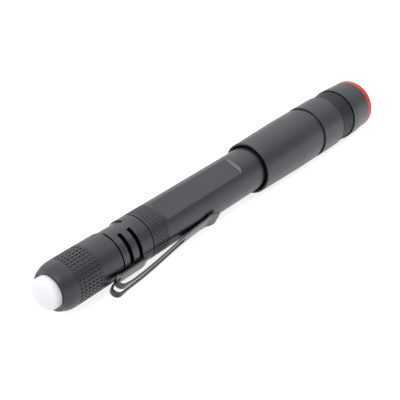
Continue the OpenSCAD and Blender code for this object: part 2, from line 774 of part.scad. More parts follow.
module pocket_clip() {
    rho_out = clip_out_rho + over;
    color(steel_black) along_x() rotate([0, 0, clip_turn]) {
        difference() {
            intersection() {
                multmatrix([[0, 1, 0, 0], [0, 0, 1, 0], [1, 0, 0, 0]])
                    translate([0, 0, -clip_w]) linear_extrude(2 * clip_w) clip_side();
                clip_standing(0, rho_out) clip_plan();
            }
            clip_standing(0, bend_rho + bend_r / 2) clip_opening(z_joint - clip_window_back, clip_window_w);
            clip_standing(bend_rho, rho_out + over) clip_opening(z_joint + clip_slit_end, clip_slit_w);
            clip_standing(0, bend_rho) clip_foot_corners();
        }
        clip_collar();
        clip_pad();
    }
}

// One AAA cell with its positive button towards the front
module cell(z) {
    rim = 0.4;
    rotate_extrude() {
        turned(0, cell_r - rim, z, z + cell_len - cell_button_h);
        turned(0, cell_r, z + rim, z + cell_len - cell_button_h - rim);
        turned(0, cell_button_d / 2, z, z + cell_len);
    }
}

module rear_cell() {
    color("#5b7f9c") along_x() cell(z_rear_cell);
}

module front_cell() {
    color("#5b7f9c") along_x() cell(z_front_cell);
}

module positive_contact() {
    stud_r = cell_button_d / 2 - loose_clear;
    color(brass) along_x() rotate_extrude() {
        turned(0, stud_r, z_cells_end, z_driver);
        turned(0, stud_r + contact_base_w, z_driver - contact_base_t, z_driver);
    }
}

module driver_board() {
    part_gap = 0.5;
    color(board_green) along_x() {
        rotate_extrude() turned(0, bore_r - loose_clear, z_driver, z_pill);
        translate([-driver_coil_w / 2, part_gap / 2 - driver_coil_w, z_driver])
            cube([driver_coil_w, driver_coil_w, driver_board_t + driver_coil_h]);
        translate([-driver_chip_len / 2, 2 * part_gap, z_driver])
            cube([driver_chip_len, driver_chip_w, driver_board_t + driver_chip_h]);
    }
}

module led_pill() {
    color(brass) along_x() difference() {
        rotate_extrude() {
            turned(0, bore_r - thread_clear, z_pill, z_barrel_end + over);
            turned(0, front_r, z_barrel_end, z_pill_flange);
            turned(0, led_board_r, z_pill_flange - over, z_led_board);
        }
        translate([0, 0, z_pill - over])
            cylinder(r = bore_r - pill_pocket_wall, h = pill_pocket_depth + over);
        for (side = [-1, 1])
            translate([0, side * pill_wire_offset, z_pill - over])
                cylinder(r = pill_wire_r, h = z_led_board - z_pill + 2 * over, $fn = 24);
    }
}

module led_board() {
    color("#e8e9ea") along_x() difference() {
        rotate_extrude() turned(0, led_board_r, z_led_board, z_led_base);
        for (side = [-1, 1])
            translate([0, side * led_board_r, z_led_board - over])
                cylinder(r = led_notch_r, h = led_board_t + 2 * over, $fn = 32);
    }
}

module led_emitter() {
    color("#f4e27a") along_x() {
        translate([-led_base_w / 2, -led_base_w / 2, z_led_base])
            cube([led_base_w, led_base_w, led_base_t]);
        translate([0, 0, z_led_base + led_base_t]) intersection() {
            sphere(led_dome_r);
            cylinder(r = led_dome_r + over, h = led_dome_r + over);
        }
    }
}

module led_ring() {
    hole = led_base_w + 2 * loose_clear;
    color("white") along_x() difference() {
        rotate_extrude() turned(0, led_board_r, z_led_base, z_led_base + led_ring_t);
        translate([-hole / 2, -hole / 2, z_led_base - over]) cube([hole, hole, led_ring_t + 2 * over]);
    }
}

module stop_ring() {
    ring_in = front_r - stop_ring_depth + snug_clear;
    ring_out = slide_bore_r - loose_clear;
    color(spring_steel) along_x() difference() {
        rotate_extrude() turned(ring_in, ring_out, z_stop_ring, z_stop_ring + stop_ring_t);
        translate([0, -stop_ring_gap / 2, z_stop_ring - over])
            cube([ring_out + over, stop_ring_gap, stop_ring_t + 2 * over]);
    }
}

module focus_o_ring() {
    color(seal) o_ring(focus_seal_r, focus_seal_d, z_focus_seal);
}

module focus_sleeve() {
    lead_in = sleeve_wall / 2;
    color(black) along_x() rotate_extrude() difference() {
        union() {
            polygon([
                [front_r, z_rim], [sleeve_rear_r - edge_break, z_rim],
                [sleeve_rear_r, z_rim + edge_break], [sleeve_front_r, z_parting - sleeve_straight_len],
                [sleeve_front_r, z_parting - edge_break],
                [sleeve_front_r - edge_break, z_parting], [front_r, z_parting]]);
            turned(front_r, sleeve_front_r - parting_depth, z_parting - over, z_bezel);
            turned(front_r, sleeve_spigot_r, z_parting - over, z_sleeve_end);
        }
        polygon([
            [0, z_rim - over], [land_r + lead_in, z_rim - over], [land_r + lead_in, z_rim],
            [land_r, z_rim + 2 * lead_in], [land_r, z_lip_rear], [0, z_lip_rear]]);
        turned(0, lip_r, z_lip_rear - over, z_lip_front + over);
        turned(0, slide_bore_r, z_lip_front, z_sleeve_end + over);
    }
}

// Fine rings turned into the grip band
module grip_grooves() {
    pitch = grip_len / grip_rings;
    for (i = [0 : grip_rings - 1])
        turned(bezel_r - grip_depth - grip_ring_depth, bezel_r + over,
            z_grip_rear + (i + 0.25) * pitch, z_grip_rear + (i + 0.75) * pitch);
}

module front_bezel() {
    z_taper = z_grip_front + bezel_nose_len / 4;
    color(black) along_x() rotate_extrude() difference() {
        union() {
            polygon([
                [0, z_bezel], [bezel_r - edge_break, z_bezel], [bezel_r, z_bezel + edge_break],
                [bezel_r, z_taper], [bezel_front_r, z_red], [0, z_red]]);
            turned(0, ring_spigot_r, z_red - over, z_ring_spigot);
        }
        turned(bezel_r - grip_depth, bezel_r + over, z_grip_rear, z_grip_front);
        grip_grooves();
        turned(-over, bezel_thread_r, z_bezel - over, z_sleeve_end + seat_clear);
        turned(-over, lens_bore_r, z_sleeve_end, z_lens_seat);
        turned(-over, window_r, z_lens_seat - over, over);
    }
}

module lens() {
    dome_base_r = window_r - 2 * loose_clear;
    dome_r = (dome_base_r * dome_base_r + lens_dome_h * lens_dome_h) / (2 * lens_dome_h);
    color([0.92, 0.95, 0.98, 0.5]) along_x() rotate_extrude() {
        turned(0, lens_r, z_lens_back, z_lens_rim);
        intersection() {
            translate([0, z_lens_rim + lens_dome_h - dome_r]) circle(dome_r);
            turned(0, dome_base_r, z_lens_rim - over / 2, z_lens_rim + lens_dome_h + over);
        }
    }
}

module lens_gasket() {
    color(seal) along_x() rotate_extrude()
        turned(window_r, lens_r, z_lens_rim, z_lens_seat);
}

module lens_retainer() {
    color(black) along_x() rotate_extrude() turned(lens_r - lens_retainer_w, lens_bore_r - thread_clear,
        z_lens_back - lens_retainer_t, z_lens_back);
}

module red_ring() {
    color(red) along_x() rotate_extrude() difference() {
        union() {
            turned(window_r, bezel_front_r - red_ring_round, z_red, 0);
            turned(window_r, bezel_front_r, z_red, -red_ring_round);
            translate([bezel_front_r - red_ring_round, -red_ring_round]) circle(red_ring_round, $fn = 32);
        }
        turned(0, ring_spigot_r + snug_clear, z_red - over, z_ring_spigot + seat_clear);
    }
}

tail_button();
button_gasket();
switch_plunger();
switch_spring();
switch_housing();
switch_board();
switch_retainer();
tail_spring();
tail_cap();
tail_o_ring();
barrel();
pocket_clip();
rear_cell();
front_cell();
positive_contact();
driver_board();
led_pill();
led_board();
led_emitter();
led_ring();
stop_ring();
focus_o_ring();
focus_sleeve();
front_bezel();
lens();
lens_gasket();
lens_retainer();
red_ring();
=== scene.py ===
# %% [markdown]
# # A penlight, dressed over its CAD frame
# The real thing is a slim aluminium torch for two AAA cells. It is turned on a lathe, anodised
# black, and it carries a spring-steel pocket clip, a white silicone button and a red front ring.
# The CAD frame already holds every rigid piece at its real size. This lesson gives each of them
# its finish, and replaces the button, the springs and the clip with finer meshes in the same place.

# %% Load the frame
import math

import bmesh
import bpy
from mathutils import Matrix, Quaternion, Vector


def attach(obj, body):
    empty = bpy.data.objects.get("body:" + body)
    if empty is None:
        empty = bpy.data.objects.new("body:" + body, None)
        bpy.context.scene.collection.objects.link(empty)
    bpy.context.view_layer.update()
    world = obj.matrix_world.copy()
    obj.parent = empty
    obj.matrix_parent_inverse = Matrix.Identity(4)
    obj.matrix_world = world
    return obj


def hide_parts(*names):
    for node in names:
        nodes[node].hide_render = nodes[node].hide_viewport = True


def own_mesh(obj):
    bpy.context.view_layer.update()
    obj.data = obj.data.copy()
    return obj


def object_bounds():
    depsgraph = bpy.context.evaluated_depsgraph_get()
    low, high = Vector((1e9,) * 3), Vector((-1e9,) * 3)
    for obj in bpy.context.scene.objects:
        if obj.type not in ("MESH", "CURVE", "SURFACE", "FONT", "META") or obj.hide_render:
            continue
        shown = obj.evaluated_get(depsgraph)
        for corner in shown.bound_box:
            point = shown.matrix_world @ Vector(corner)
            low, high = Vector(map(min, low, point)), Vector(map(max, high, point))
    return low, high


MM = 0.001
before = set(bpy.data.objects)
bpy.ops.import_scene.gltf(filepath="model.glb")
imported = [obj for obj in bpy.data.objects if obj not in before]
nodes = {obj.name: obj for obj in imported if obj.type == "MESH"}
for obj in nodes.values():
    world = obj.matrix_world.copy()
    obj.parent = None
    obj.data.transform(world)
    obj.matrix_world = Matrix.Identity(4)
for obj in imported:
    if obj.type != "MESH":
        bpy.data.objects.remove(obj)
cad_low, cad_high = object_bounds()
print("nodes", len(nodes), "box in mm", [round(v / MM, 1) for v in cad_high - cad_low])

# %% [markdown]
# ## The camera
# The photographer stands behind the tail, a little above the table, and looks along the penlight
# towards its head. A camera is easiest to read as a place, a point that it looks at, and a roll
# about the line between them, so these are the three values here.

# %% Camera
camera_place = Vector((-276.9, -180.6, 119.9)) * MM
camera_target = Vector((-77.1, 5.4, -4.3)) * MM
camera_roll = math.radians(-8.02)

camera_data = bpy.data.cameras.new("photo_camera")
camera_data.lens = 90.0
camera_data.sensor_width = 36.0
camera_data.clip_start = 10 * MM
camera_data.clip_end = 20.0
camera = bpy.data.objects.new("photo_camera", camera_data)
bpy.context.scene.collection.objects.link(camera)
look = (camera_target - camera_place).to_track_quat("-Z", "Y")
camera.rotation_mode = "QUATERNION"
camera.rotation_quaternion = look @ Quaternion((0, 0, 1), camera_roll)
camera.location = camera_place
bpy.context.scene.camera = camera
print("camera stands", round((camera_target - camera_place).length / MM), "mm from what it looks at")

# %% [markdown]
# ## One way to write a shader
# Every finish below is a small tree of shader nodes. Short helpers keep them readable: one turns a
# colour as a painter writes it, in sRGB, into the linear light that the renderer counts in, one
# adds a node, sets its options, and links or fills its sockets, and one starts a material with the
# place of a point in millimetres, so that every pattern can be sized from the real thing.

# %% Helpers for materials
def linear(hex_colour):
    """An sRGB hex colour as linear light."""
    parts = [int(hex_colour[i:i + 2], 16) / 255 for i in (1, 3, 5)]
    light = [c / 12.92 if c <= 0.04045 else ((c + 0.055) / 1.055) ** 2.4 for c in parts]
    return (*light, 1.0)


def add(tree, kind, sockets=None, **options):
    """Adds a shader node and gives its first output in use. A socket takes a value or an output."""
    made = tree.nodes.new("ShaderNode" + kind)
    for name, value in options.items():
        setattr(made, name, value)
    for name, value in (sockets or {}).items():
        if isinstance(value, bpy.types.NodeSocket):
            tree.links.new(value, made.inputs[name])
        else:
            made.inputs[name].default_value = value
    return next((output for output in made.outputs if output.enabled), None)


def finish_named(name):
    """A new material, its empty tree, and the place of a point on the piece in millimetres."""
    material = bpy.data.materials.new(name)
    material.use_nodes = True
    tree = material.node_tree
    tree.nodes.clear()
    place = add(tree, "TexCoord").node.outputs["Object"]
    return material, tree, add(tree, "VectorMath", {0: place, "Scale": 1 / MM}, operation="SCALE")


def along_and_radius(tree, place_mm):
    """How far along the penlight a point lies, and how far from its axis, in millimetres."""
    along = add(tree, "SeparateXYZ", {0: place_mm})
    across = add(tree, "VectorMath", {0: place_mm, 1: (0, 1, 1)}, operation="MULTIPLY")
    return along, add(tree, "VectorMath", {0: across}, operation="LENGTH")


def spread(tree, value, low, high):
    """Noise, which mostly lies between 0.3 and 0.7, spread from low to high."""
    return add(tree, "MapRange", {"Value": value, "From Min": 0.3, "From Max": 0.7,
                                  "To Min": low, "To Max": high})


print("helpers ready")

# %% [markdown]
# ## Table and light
# The penlight lies on a white sheet in a white tent, so its black skin is seen mostly by what it
# mirrors. The world is an even white, one wide lamp hangs above it and a smaller one behind the
# tail, and the sheet throws light up from below. The sheet keeps a soft shadow, and a part of its
# white is there only for the eye and for mirrors, so that it doesn't flood the object with light.
# Close under the penlight a real sheet lies in shade, so mirrors see it darker there.

# %% Table and light
floor_size = 1.6         # metres
floor_glow = 0.79        # share of the sheet's white that doesn't depend on the lamps
shade_reach = 2 * MM     # mirrors see the sheet in shade this close under the penlight
world_light = 0.5        # share of the tent's white that lights the object

bpy.context.scene.view_settings.view_transform = "Standard"


def seen_directly(tree):
    """1 where a ray comes from the camera, a mirror or glass, and 0 where it lights something."""
    rays = add(tree, "LightPath").node.outputs
    mirrored = add(tree, "Math", {0: rays["Is Glossy Ray"], 1: rays["Is Transmission Ray"]},
                   operation="MAXIMUM")
    return add(tree, "Math", {0: rays["Is Camera Ray"], 1: mirrored}, operation="MAXIMUM")


world = bpy.data.worlds.new("white_tent")
bpy.context.scene.world = world
world.use_nodes = True
tree = world.node_tree
tree.nodes.clear()
level = add(tree, "MapRange", {"Value": seen_directly(tree), "To Min": world_light, "To Max": 1.0})
tent = add(tree, "Background", {"Color": linear("#ffffff"), "Strength": level})
add(tree, "OutputWorld", {"Surface": tent})

paper, tree, place_mm = finish_named("white_paper")
shade = add(tree, "AmbientOcclusion", {"Distance": shade_reach}, samples=8).node.outputs["AO"]
mirrors = add(tree, "LightPath").node.outputs["Is Glossy Ray"]
shaded = add(tree, "MapRange", {"Value": mirrors, "To Min": 1.0, "To Max": shade})
seen = add(tree, "Math", {0: seen_directly(tree), 1: shaded}, operation="MULTIPLY")
glow = add(tree, "MapRange", {"Value": seen, "To Min": 0.0, "To Max": floor_glow})
sheet = add(tree, "BsdfDiffuse", {"Color": linear("#e6e6e6")})
lit = add(tree, "Emission", {"Color": linear("#ffffff"), "Strength": glow})
add(tree, "OutputMaterial", {"Surface": add(tree, "AddShader", {0: sheet, 1: lit})})

half = floor_size / 2
floor_mesh = bpy.data.meshes.new("paper_sheet")
corners = [(-half, -half, 0), (half, -half, 0), (half, half, 0), (-half, half, 0)]
floor_mesh.from_pydata(corners, [], [(0, 1, 2, 3)])
floor_mesh.materials.append(paper)
floor = bpy.data.objects.new("paper_sheet", floor_mesh)
floor.location = (0, 0, cad_low.z)
bpy.context.scene.collection.objects.link(floor)
print("floor at", round(cad_low.z / MM, 2), "mm")

# %% [markdown]
# A soft lamp is a rectangle that shines. Its size sets how softly light ends on the curved skin,
# and its place sets where that end falls: the long bright side of the barrel mirrors the lamp above,
# and the rounded nose mirrors the one behind the tail.

# %% Lamps
body_middle = (cad_low + cad_high) / 2


def soft_lamp(name, offset, facing, size, power):
    """A rectangular lamp at an offset from the penlight's middle, in metres, that faces a direction."""
    data = bpy.data.lights.new(name, "AREA")
    data.shape = "RECTANGLE"
    data.size, data.size_y = size
    data.energy = power
    lamp = bpy.data.objects.new(name, data)
    lamp.location = body_middle + Vector(offset)
    lamp.rotation_mode = "QUATERNION"
    lamp.rotation_quaternion = Vector((0, 0, -1)).rotation_difference(Vector(facing))
    bpy.context.scene.collection.objects.link(lamp)


soft_lamp("top_softbox", offset=(0.05, 0.3, 0.6), facing=(0, 0, -1), size=(1.5, 1.8), power=7.2)
soft_lamp("tail_softbox", offset=(-0.55, -0.15, 0.5), facing=(0.55, 0.15, -0.5), size=(0.5, 0.5),
          power=1.3)
print("lamps", [light.name for light in bpy.data.lights])

# %% [markdown]
# ## Black anodised aluminium
# The barrel, cap and head are turned from aluminium bar and anodised black. Anodising grows a hard
# clear oxide full of dye, so the skin is a dark satin film and not bare metal: a faint mirror over
# near black. The lathe leaves hair-fine rings, which are drawn coarser here than the real
# 0.05 mm so that they show at all, and the blasted grain breaks the gloss up a little.

# %% Black anodised aluminium
anodised, tree, place_mm = finish_named("black_anodised_aluminium")
ring_spacing = 0.35
grain_size = 0.25
cloud_size = 8.0
tool_depth = 0.02 * MM   # how deep tool marks and mould grain are
along, radius = along_and_radius(tree, place_mm)
line = add(tree, "CombineXYZ", {"X": along})
rings = add(tree, "TexNoise", {"Vector": line, "Scale": 1 / ring_spacing, "Detail": 2.0})
grain = add(tree, "TexNoise", {"Vector": place_mm, "Scale": 1 / grain_size, "Detail": 3.0})
cloud = add(tree, "TexNoise", {"Vector": place_mm, "Scale": 1 / cloud_size, "Detail": 1.0})
tint = add(tree, "Mix", {"Factor": 1.0, "A": linear("#151618"), "B": spread(tree, cloud, 0.9, 1.1)},
           data_type="RGBA", blend_type="MULTIPLY")
relief = add(tree, "Bump", {"Height": grain, "Strength": 0.12, "Distance": tool_depth})
relief = add(tree, "Bump", {"Height": rings, "Strength": 0.12, "Distance": tool_depth, "Normal": relief})
print("rings", ring_spacing, "grain", grain_size, "clouds", cloud_size, "mm")

# %% [markdown]
# Two places on the barrel get painted light and shade. Where the clip's collar covers the neck, shade
# is painted on: the skin there is made near black and dull, and it is set as a black metal, which
# mirrors only in its own colour, so the mirror is taken off and the collar's slots read as black. And
# the sloped end of the milled flat, where the cutter ran out, is painted a paler grey as a painted
# highlight. A material can tell such places by where a point lies and which way its face looks, so no
# piece has to be cut up for them.

# %% Painted shade on the neck, and a painted highlight on the end of the flat
neck_r = 6.6                    # the neck lies inside this radius, in millimetres
neck_along, neck_half = -118.4, 4.0     # its middle along the penlight, and half its length
neck_gloss = 0.95
open_side = (0, 0.813, 0.583)   # the clip's collar leaves the neck free on this side
open_from = 3.4                 # where that begins, in millimetres from the axis
run_out_along, run_out_half = -69.9, 0.65   # the foot of the flat's sloped end, and half its length
slope_limit = -0.5              # a face that looks back to the tail more than this is the slope
# Painted shade: where the collar covers the neck, the skin is made near black, dull and metal, so it
# mirrors nothing.
near_neck = add(tree, "Math", {0: along, 1: neck_along, 2: neck_half}, operation="COMPARE")
painted_neck_shade = add(tree, "Math", {0: radius, 1: neck_r}, operation="LESS_THAN")
painted_neck_shade = add(tree, "Math", {0: painted_neck_shade, 1: near_neck}, operation="MULTIPLY")
to_open = add(tree, "VectorMath", {0: place_mm, 1: open_side}, operation="DOT_PRODUCT")
covered = add(tree, "Math", {0: to_open, 1: open_from}, operation="LESS_THAN")
painted_neck_shade = add(tree, "Math", {0: painted_neck_shade, 1: covered}, operation="MULTIPLY")
facing = add(tree, "SeparateXYZ", {0: add(tree, "TexCoord").node.outputs["Normal"]})
sloping = add(tree, "Math", {0: facing, 1: slope_limit}, operation="LESS_THAN")
# Painted highlight: the sloped end of the flat, where the cutter ran out, is painted a paler grey.
painted_slope_highlight = add(tree, "Math", {0: along, 1: run_out_along, 2: run_out_half}, operation="COMPARE")
painted_slope_highlight = add(tree, "Math", {0: painted_slope_highlight, 1: sloping}, operation="MULTIPLY")
gloss = add(tree, "Mix", {"Factor": painted_neck_shade, "A": spread(tree, grain, 0.3, 0.38), "B": neck_gloss},
            data_type="FLOAT")
# the painted shade on the neck, then the painted highlight on the flat's sloped end
tint = add(tree, "Mix", {"Factor": painted_neck_shade, "A": tint, "B": linear("#0c0c0d")}, data_type="RGBA")
tint = add(tree, "Mix", {"Factor": painted_slope_highlight, "A": tint, "B": linear("#57585c")}, data_type="RGBA")
add(tree, "OutputMaterial", {"Surface": add(tree, "BsdfPrincipled", {
    "Base Color": tint, "Metallic": painted_neck_shade, "Roughness": gloss, "IOR": 1.55,
    "Specular Tint": linear("#f0f3ff"), "Normal": relief})})
print("made", anodised.name)

# %% [markdown]
# ## Blackened spring steel
# The clip is stamped from spring steel, blackened in a hot bath and sealed with a thin lacquer. The
# lacquer is smoother than the anodising, so a face that is seen aslant mirrors the white sheet and
# one that faces the eye stays black. The rolling marks of the strip run along the clip.

# %% Blackened spring steel
clip_steel, tree, place_mm = finish_named("blackened_spring_steel")
mark_width = 0.3
mark_length = 6.0
marks = add(tree, "VectorMath", {0: place_mm, 1: (1 / mark_length, 1 / mark_width, 1 / mark_width)},
            operation="MULTIPLY")
rolled = add(tree, "TexNoise", {"Vector": marks, "Scale": 1.0, "Detail": 2.0})
relief = add(tree, "Bump", {"Height": rolled, "Strength": 0.06, "Distance": tool_depth})
tint = add(tree, "Mix", {"Factor": 1.0, "A": linear("#101113"), "B": spread(tree, rolled, 0.85, 1.15)},
           data_type="RGBA", blend_type="MULTIPLY")
add(tree, "OutputMaterial", {"Surface": add(tree, "BsdfPrincipled", {
    "Base Color": tint, "Roughness": spread(tree, rolled, 0.22, 0.3), "IOR": 1.6,
    "Specular Tint": linear("#f0f3ff"), "Normal": relief})})
print("made", clip_steel.name)

# %% [markdown]
# ## White silicone
# The button is moulded silicone rubber, milky and slightly blue. Light soaks in a little and comes
# out again, which the shader's subsurface does, and the mould gives it a soft eggshell sheen.

# %% White silicone
silicone, tree, place_mm = finish_named("white_moulded_silicone")
mould_grain = 0.2
mould = add(tree, "TexNoise", {"Vector": place_mm, "Scale": 1 / mould_grain, "Detail": 2.0})
relief = add(tree, "Bump", {"Height": mould, "Strength": 0.06, "Distance": tool_depth})
add(tree, "OutputMaterial", {"Surface": add(tree, "BsdfPrincipled", {
    "Base Color": linear("#f1f2f8"), "Roughness": spread(tree, mould, 0.42, 0.55), "IOR": 1.41,
    "Subsurface Weight": 0.25, "Subsurface Radius": (0.6, 0.6, 0.7), "Subsurface Scale": 1.0 * MM,
    "Normal": relief})})
print("made", silicone.name)

# %% [markdown]
# ## Red anodised aluminium
# The front ring is turned like the rest and dyed red, with the dye letting the metal glow through.

# %% Red anodised aluminium
red_metal, tree, place_mm = finish_named("red_anodised_aluminium")
along, radius = along_and_radius(tree, place_mm)
line = add(tree, "CombineXYZ", {"X": along, "Y": radius})
rings = add(tree, "TexNoise", {"Vector": line, "Scale": 1 / ring_spacing, "Detail": 2.0})
relief = add(tree, "Bump", {"Height": rings, "Strength": 0.1, "Distance": tool_depth})
add(tree, "OutputMaterial", {"Surface": add(tree, "BsdfPrincipled", {
    "Base Color": linear("#cf241d"), "Metallic": 0.25, "Roughness": spread(tree, rings, 0.34, 0.42),
    "Normal": relief})})
print("made", red_metal.name)

# %% [markdown]
# ## Clear lens
# The lens is moulded clear acrylic, with an IOR of 1.49 and a polished dome. The mould's flow leaves
# a very slight unevenness in its gloss.

# %% Clear lens
acrylic, tree, place_mm = finish_named("clear_moulded_acrylic")
flow_size = 2.5
flow = add(tree, "TexNoise", {"Vector": place_mm, "Scale": 1 / flow_size, "Detail": 1.0})
add(tree, "OutputMaterial", {"Surface": add(tree, "BsdfPrincipled", {
    "Base Color": linear("#fbfdff"), "Transmission Weight": 1.0, "IOR": 1.49,
    "Roughness": spread(tree, flow, 0.01, 0.04)})})
print("made", acrylic.name)

# %% [markdown]
# ## Seals and moulded plastics
# The seals are nitrile rubber, matt black with the faint dust of their mould. The switch's housing is
# black nylon with a fine spark-eroded grain. The plunger and the ring round the emitter are white
# acetal, which is smooth and slightly waxy. All three are one tree with other numbers, so a loop
# makes them.

# %% Seals and moulded plastics
moulded = {}
for name, colour, grain_size, depth, gloss, index in (
        ("black_nitrile_rubber", "#1b1b1c", 0.15, 0.02, (0.55, 0.72), 1.52),
        ("black_moulded_nylon", "#232426", 0.12, 0.03, (0.45, 0.6), 1.53),
        ("white_moulded_acetal", "#ecebe4", 0.6, 0.01, (0.3, 0.38), 1.48)):
    moulded[name], tree, place_mm = finish_named(name)
    grain = add(tree, "TexNoise", {"Vector": place_mm, "Scale": 1 / grain_size, "Detail": 3.0})
    tint = add(tree, "Mix", {"Factor": 1.0, "A": linear(colour), "B": spread(tree, grain, 0.93, 1.07)},
               data_type="RGBA", blend_type="MULTIPLY")
    relief = add(tree, "Bump", {"Height": grain, "Strength": 0.3, "Distance": depth * MM})
    add(tree, "OutputMaterial", {"Surface": add(tree, "BsdfPrincipled", {
        "Base Color": tint, "Roughness": spread(tree, grain, *gloss), "IOR": index, "Normal": relief})})
print("made", sorted(moulded))

# %% [markdown]
# ## Bare metals inside
# The springs and the stop ring are bright drawn steel wire, with fine die lines. The contact, the
# switch's threaded ring and the pill that carries the emitter are turned brass, whose tool rings are
# drawn at 0.3 mm, a few times coarser than real ones.

# %% Bare metals inside
bare = {}
for name, colour, mark_size, gloss in (("bright_drawn_spring_steel", "#b9babc", 0.2, (0.2, 0.32)),
                                       ("turned_brass", "#c9a253", 0.3, (0.22, 0.34))):
    bare[name], tree, place_mm = finish_named(name)
    along, radius = along_and_radius(tree, place_mm)
    line = add(tree, "CombineXYZ", {"X": along, "Y": radius})
    marks = add(tree, "TexNoise", {"Vector": line, "Scale": 1 / mark_size, "Detail": 3.0})
    tint = add(tree, "Mix", {"Factor": 1.0, "A": linear(colour), "B": spread(tree, marks, 0.9, 1.06)},
               data_type="RGBA", blend_type="MULTIPLY")
    relief = add(tree, "Bump", {"Height": marks, "Strength": 0.15, "Distance": tool_depth})
    add(tree, "OutputMaterial", {"Surface": add(tree, "BsdfPrincipled", {
        "Base Color": tint, "Metallic": 1.0, "Roughness": spread(tree, marks, *gloss), "Normal": relief})})
print("made", sorted(bare))

# %% [markdown]
# ## Boards
# A circuit board is glass cloth in resin under a coat of solder mask. The mask takes the weave's
# print, about 0.5 mm apart, as a faint chequer. Where something presses on a board the copper is
# left open and tinned, here in a ring round the axis. The switch and driver boards are green, and
# the emitter's board is an aluminium core under a white mask, which has no weave.

# %% Boards
boards = {}
weave_spacing = 0.5
solder_size = 0.5
for name, colour, weave_depth, ring_from, ring_to in (
        ("green_solder_mask_board", "#1d5a31", 0.02, 2.6, 4.2),
        ("white_solder_mask_board", "#eceded", 0.0, 4.4, 5.4)):
    boards[name], tree, place_mm = finish_named(name)
    along, radius = along_and_radius(tree, place_mm)
    weave = add(tree, "TexChecker", {"Vector": place_mm, "Scale": 1 / weave_spacing}).node.outputs["Fac"]
    relief = add(tree, "Bump", {"Height": weave, "Strength": 0.2, "Distance": weave_depth * MM})
    outside = add(tree, "Math", {0: radius, 1: ring_from}, operation="GREATER_THAN")
    inside = add(tree, "Math", {0: radius, 1: ring_to}, operation="LESS_THAN")
    tinned = add(tree, "Math", {0: outside, 1: inside}, operation="MULTIPLY")
    solder = add(tree, "TexNoise", {"Vector": place_mm, "Scale": 1 / solder_size, "Detail": 2.0})
    tint = add(tree, "Mix", {"Factor": tinned, "A": linear(colour), "B": linear("#c3c4c6")},
               data_type="RGBA")
    add(tree, "OutputMaterial", {"Surface": add(tree, "BsdfPrincipled", {
        "Base Color": tint, "Metallic": tinned, "Roughness": spread(tree, solder, 0.28, 0.4),
        "Normal": relief})})
print("made", sorted(boards))

# %% [markdown]
# ## Driver board with its components
# The driver board is one CAD solid with a coil and a chip on it. Their places tell them apart: above
# the board's face, the ferrite coil lies on one side of the axis and the moulded chip on the other.

# %% Driver board
driver_face = -35.3      # front face of the board along the penlight, in millimetres
face_skin = 0.02         # what stands higher than this above the face is a component
coil_side = 0.5          # the coil lies on this side of the axis
grit_size = 0.2
driver, tree, place_mm = finish_named("driver_board_with_components")
along = add(tree, "SeparateXYZ", {0: place_mm})
grit = add(tree, "TexNoise", {"Vector": place_mm, "Scale": 1 / grit_size, "Detail": 3.0})
coil = add(tree, "Math", {0: along.node.outputs["Y"], 1: coil_side}, operation="LESS_THAN")
raised = add(tree, "Math", {0: along, 1: driver_face + face_skin}, operation="GREATER_THAN")
body = add(tree, "Mix", {"Factor": coil, "A": linear("#1c1c1e"), "B": linear("#3b3a3a")}, data_type="RGBA")
tint = add(tree, "Mix", {"Factor": raised, "A": linear("#1d5a31"), "B": body}, data_type="RGBA")
relief = add(tree, "Bump", {"Height": grit, "Strength": 0.2, "Distance": tool_depth})
add(tree, "OutputMaterial", {"Surface": add(tree, "BsdfPrincipled", {
    "Base Color": tint, "Roughness": spread(tree, grit, 0.38, 0.58), "Normal": relief})})
print("made", driver.name)

# %% [markdown]
# ## Emitter
# The emitter is a white ceramic block with a clear silicone dome over a yellow phosphor. The phosphor
# is what the lens shows from the front, so it is grained like the powder that it is.

# %% Emitter
dome_foot = -16.49       # the dome lies in front of this place along the penlight, in millimetres
powder_size = 0.1
emitter, tree, place_mm = finish_named("phosphor_emitter_on_ceramic")
along = add(tree, "SeparateXYZ", {0: place_mm})
powder = add(tree, "TexNoise", {"Vector": place_mm, "Scale": 1 / powder_size, "Detail": 2.0})
domed = add(tree, "Math", {0: along, 1: dome_foot}, operation="GREATER_THAN")
phosphor = add(tree, "Mix", {"Factor": spread(tree, powder, 0.0, 1.0), "A": linear("#e6c63c"),
                             "B": linear("#f2dc6a")}, data_type="RGBA")
tint = add(tree, "Mix", {"Factor": domed, "A": linear("#ededea"), "B": phosphor}, data_type="RGBA")
gloss = add(tree, "MapRange", {"Value": domed, "To Min": 0.5, "To Max": 0.12})
add(tree, "OutputMaterial", {"Surface": add(tree, "BsdfPrincipled", {
    "Base Color": tint, "Roughness": gloss, "IOR": 1.41})})
print("made", emitter.name)

# %% [markdown]
# ## Cells
# An AAA cell is a nickel-plated steel can in a shrunk plastic film, which is left plain here. The film
# covers the side and turns in over the edge of both ends, and inside that the plating shows.

# %% Cells
film_turn_in = 4.4       # radius at which the film ends on the cell's ends, in millimetres
shrink_size = 3.0
wrinkle_depth = 0.05 * MM
cell_skin, tree, place_mm = finish_named("plain_film_on_nickel_can")
along, radius = along_and_radius(tree, place_mm)
shrink = add(tree, "TexNoise", {"Vector": place_mm, "Scale": 1 / shrink_size, "Detail": 2.0})
filmed = add(tree, "Math", {0: radius, 1: film_turn_in}, operation="GREATER_THAN")
tint = add(tree, "Mix", {"Factor": filmed, "A": linear("#c8c9c6"), "B": linear("#54758f")},
           data_type="RGBA")
plated = add(tree, "Math", {0: 1.0, 1: filmed}, operation="SUBTRACT")
relief = add(tree, "Bump", {"Height": shrink, "Strength": 0.2, "Distance": wrinkle_depth})
add(tree, "OutputMaterial", {"Surface": add(tree, "BsdfPrincipled", {
    "Base Color": tint, "Metallic": plated, "Roughness": spread(tree, shrink, 0.24, 0.34),
    "Normal": relief})})
print("made", cell_skin.name)

# %% [markdown]
# ## Dress the frame
# Each CAD solid that stays in view takes one of the finishes above in its material slot.

